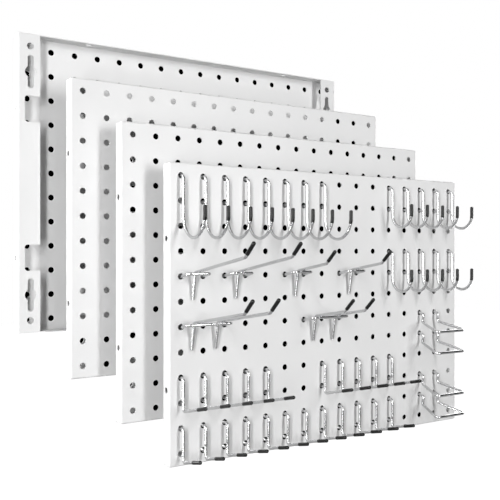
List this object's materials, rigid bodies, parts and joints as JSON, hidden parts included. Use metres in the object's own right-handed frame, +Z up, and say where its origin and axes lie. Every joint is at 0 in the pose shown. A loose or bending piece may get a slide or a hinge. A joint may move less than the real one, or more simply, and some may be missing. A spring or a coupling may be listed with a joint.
{
  "type": "pegboard tool wall",
  "caption": "Set of perforated white steel pegboard panels in a staggered row, the front one hung with wire hooks, arms and loops that have black tip caps.",
  "frame": {"origin": "middle of the front panel's four wall-screw holes, on the back plane of its flanges", "axes": "+X to the right along the panels' width, +Y into the wall, away from the hooks, +Z up"},
  "size_m": [0.5313, 0.2246, 0.4375],
  "materials": {
    "panel_paint": "satin white powder coat",
    "wire_chrome": "bright plated wire",
    "cap_vinyl": "glossy dipped vinyl"
  },
  "bodies": {
    "front_panel": {"front_panel": "panel_paint"},
    "second_panel": {"second_panel": "panel_paint"},
    "third_panel": {"third_panel": "panel_paint"},
    "rear_panel": {"rear_panel": "panel_paint"},
    "large_j_1": {"large_j_hook_1": "wire_chrome", "large_j_cap_1": "cap_vinyl"},
    "large_j_2": {"large_j_hook_2": "wire_chrome", "large_j_cap_2": "cap_vinyl"},
    "large_j_3": {"large_j_hook_3": "wire_chrome", "large_j_cap_3": "cap_vinyl"},
    "large_j_4": {"large_j_hook_4": "wire_chrome", "large_j_cap_4": "cap_vinyl"},
    "large_j_5": {"large_j_hook_5": "wire_chrome", "large_j_cap_5": "cap_vinyl"},
    "large_j_6": {"large_j_hook_6": "wire_chrome", "large_j_cap_6": "cap_vinyl"},
    "large_j_7": {"large_j_hook_7": "wire_chrome", "large_j_cap_7": "cap_vinyl"},
    "large_j_8": {"large_j_hook_8": "wire_chrome", "large_j_cap_8": "cap_vinyl"},
    "small_j_upper": {"small_j_hooks_upper": "wire_chrome", "small_j_caps_upper": "cap_vinyl"},
    "small_j_lower": {"small_j_hooks_lower": "wire_chrome", "small_j_caps_lower": "cap_vinyl"},
    "arm_a": {"arm_hook_a": "wire_chrome", "arm_cap_a": "cap_vinyl"},
    "arm_b": {"arm_hook_b": "wire_chrome", "arm_cap_b": "cap_vinyl"},
    "arm_c": {"arm_hook_c": "wire_chrome", "arm_cap_c": "cap_vinyl"},
    "arm_d": {"arm_hook_d": "wire_chrome", "arm_cap_d": "cap_vinyl"},
    "double_arm_left": {"double_arm_hook_left": "wire_chrome", "double_arm_caps_left": "cap_vinyl"},
    "double_arm_right": {"double_arm_hook_right": "wire_chrome", "double_arm_caps_right": "cap_vinyl"},
    "l_middle_left": {"l_hooks_middle_left": "wire_chrome", "l_caps_middle_left": "cap_vinyl"},
    "l_middle_right": {"l_hooks_middle_right": "wire_chrome", "l_caps_middle_right": "cap_vinyl"},
    "l_bottom": {"l_hooks_bottom": "wire_chrome", "l_caps_bottom": "cap_vinyl"},
    "loop_1": {"wire_loop_1": "wire_chrome"},
    "loop_2": {"wire_loop_2": "wire_chrome"},
    "loop_3": {"wire_loop_3": "wire_chrome"},
    "loop_4": {"wire_loop_4": "wire_chrome"}
  },
  "joints": [
    {"name": "second_panel_lift", "type": "slide", "parent": "front_panel", "child": "second_panel", "axis": [0, 0, 1], "range_m": [0, 0.0139]},
    {"name": "third_panel_lift", "type": "slide", "parent": "front_panel", "child": "third_panel", "axis": [0, 0, 1], "range_m": [0, 0.0139]},
    {"name": "rear_panel_lift", "type": "slide", "parent": "front_panel", "child": "rear_panel", "axis": [0, 0, 1], "range_m": [0, 0.0139]},
    {"name": "large_j_1_tilt", "type": "hinge", "parent": "front_panel", "child": "large_j_1", "pos_m": [-0.1905, -0.0145, 0.1392], "axis": [-1, 0, 0], "range_deg": [0, 35]},
    {"name": "large_j_2_tilt", "type": "hinge", "parent": "front_panel", "child": "large_j_2", "pos_m": [-0.1651, -0.0145, 0.1392], "axis": [-1, 0, 0], "range_deg": [0, 35]},
    {"name": "large_j_3_tilt", "type": "hinge", "parent": "front_panel", "child": "large_j_3", "pos_m": [-0.1397, -0.0145, 0.1392], "axis": [-1, 0, 0], "range_deg": [0, 35]},
    {"name": "large_j_4_tilt", "type": "hinge", "parent": "front_panel", "child": "large_j_4", "pos_m": [-0.1143, -0.0145, 0.1392], "axis": [-1, 0, 0], "range_deg": [0, 35]},
    {"name": "large_j_5_tilt", "type": "hinge", "parent": "front_panel", "child": "large_j_5", "pos_m": [-0.0889, -0.0145, 0.1392], "axis": [-1, 0, 0], "range_deg": [0, 35]},
    {"name": "large_j_6_tilt", "type": "hinge", "parent": "front_panel", "child": "large_j_6", "pos_m": [-0.0635, -0.0145, 0.1392], "axis": [-1, 0, 0], "range_deg": [0, 35]},
    {"name": "large_j_7_tilt", "type": "hinge", "parent": "front_panel", "child": "large_j_7", "pos_m": [-0.0381, -0.0145, 0.1392], "axis": [-1, 0, 0], "range_deg": [0, 35]},
    {"name": "large_j_8_tilt", "type": "hinge", "parent": "front_panel", "child": "large_j_8", "pos_m": [-0.0127, -0.0145, 0.1392], "axis": [-1, 0, 0], "range_deg": [0, 35]},
    {"name": "small_j_upper_tilt", "type": "hinge", "parent": "front_panel", "child": "small_j_upper", "pos_m": [0.1397, -0.0145, 0.1392], "axis": [-1, 0, 0], "range_deg": [0, 35]},
    {"name": "small_j_lower_tilt", "type": "hinge", "parent": "front_panel", "child": "small_j_lower", "pos_m": [0.1397, -0.0145, 0.063], "axis": [-1, 0, 0], "range_deg": [0, 35]},
    {"name": "arm_a_tilt", "type": "hinge", "parent": "front_panel", "child": "arm_a", "pos_m": [-0.1778, -0.0145, 0.0381], "axis": [-1, 0, 0], "range_deg": [0, 35]},
    {"name": "arm_b_tilt", "type": "hinge", "parent": "front_panel", "child": "arm_b", "pos_m": [-0.127, -0.0145, 0.0381], "axis": [-1, 0, 0], "range_deg": [0, 35]},
    {"name": "arm_c_tilt", "type": "hinge", "parent": "front_panel", "child": "arm_c", "pos_m": [-0.0508, -0.0145, 0.0381], "axis": [-1, 0, 0], "range_deg": [0, 35]},
    {"name": "arm_d_tilt", "type": "hinge", "parent": "front_panel", "child": "arm_d", "pos_m": [0.0254, -0.0145, 0.0381], "axis": [-1, 0, 0], "range_deg": [0, 35]},
    {"name": "double_arm_left_tilt", "type": "hinge", "parent": "front_panel", "child": "double_arm_left", "pos_m": [-0.1651, -0.0145, -0.0127], "axis": [-1, 0, 0], "range_deg": [0, 15]},
    {"name": "double_arm_right_tilt", "type": "hinge", "parent": "front_panel", "child": "double_arm_right", "pos_m": [-0.0127, -0.0145, -0.0127], "axis": [-1, 0, 0], "range_deg": [0, 35]},
    {"name": "l_middle_left_tilt", "type": "hinge", "parent": "front_panel", "child": "l_middle_left", "pos_m": [-0.1397, -0.0145, -0.0635], "axis": [-1, 0, 0], "range_deg": [0, 35]},
    {"name": "l_middle_right_tilt", "type": "hinge", "parent": "front_panel", "child": "l_middle_right", "pos_m": [0.0381, -0.0145, -0.0635], "axis": [-1, 0, 0], "range_deg": [0, 35]},
    {"name": "l_bottom_tilt", "type": "hinge", "parent": "front_panel", "child": "l_bottom", "pos_m": [-0.0508, -0.0145, -0.1143], "axis": [-1, 0, 0], "range_deg": [0, 35]},
    {"name": "loop_1_tilt", "type": "hinge", "parent": "front_panel", "child": "loop_1", "pos_m": [0.1524, -0.0145, -0.0127], "axis": [-1, 0, 0], "range_deg": [0, 35]},
    {"name": "loop_2_tilt", "type": "hinge", "parent": "front_panel", "child": "loop_2", "pos_m": [0.1524, -0.0145, -0.0381], "axis": [-1, 0, 0], "range_deg": [0, 20]},
    {"name": "loop_3_tilt", "type": "hinge", "parent": "front_panel", "child": "loop_3", "pos_m": [0.1524, -0.0145, -0.0889], "axis": [-1, 0, 0], "range_deg": [0, 35]},
    {"name": "loop_4_tilt", "type": "hinge", "parent": "front_panel", "child": "loop_4", "pos_m": [0.1524, -0.0145, -0.1143], "axis": [-1, 0, 0], "range_deg": [0, 20]}
  ]
}
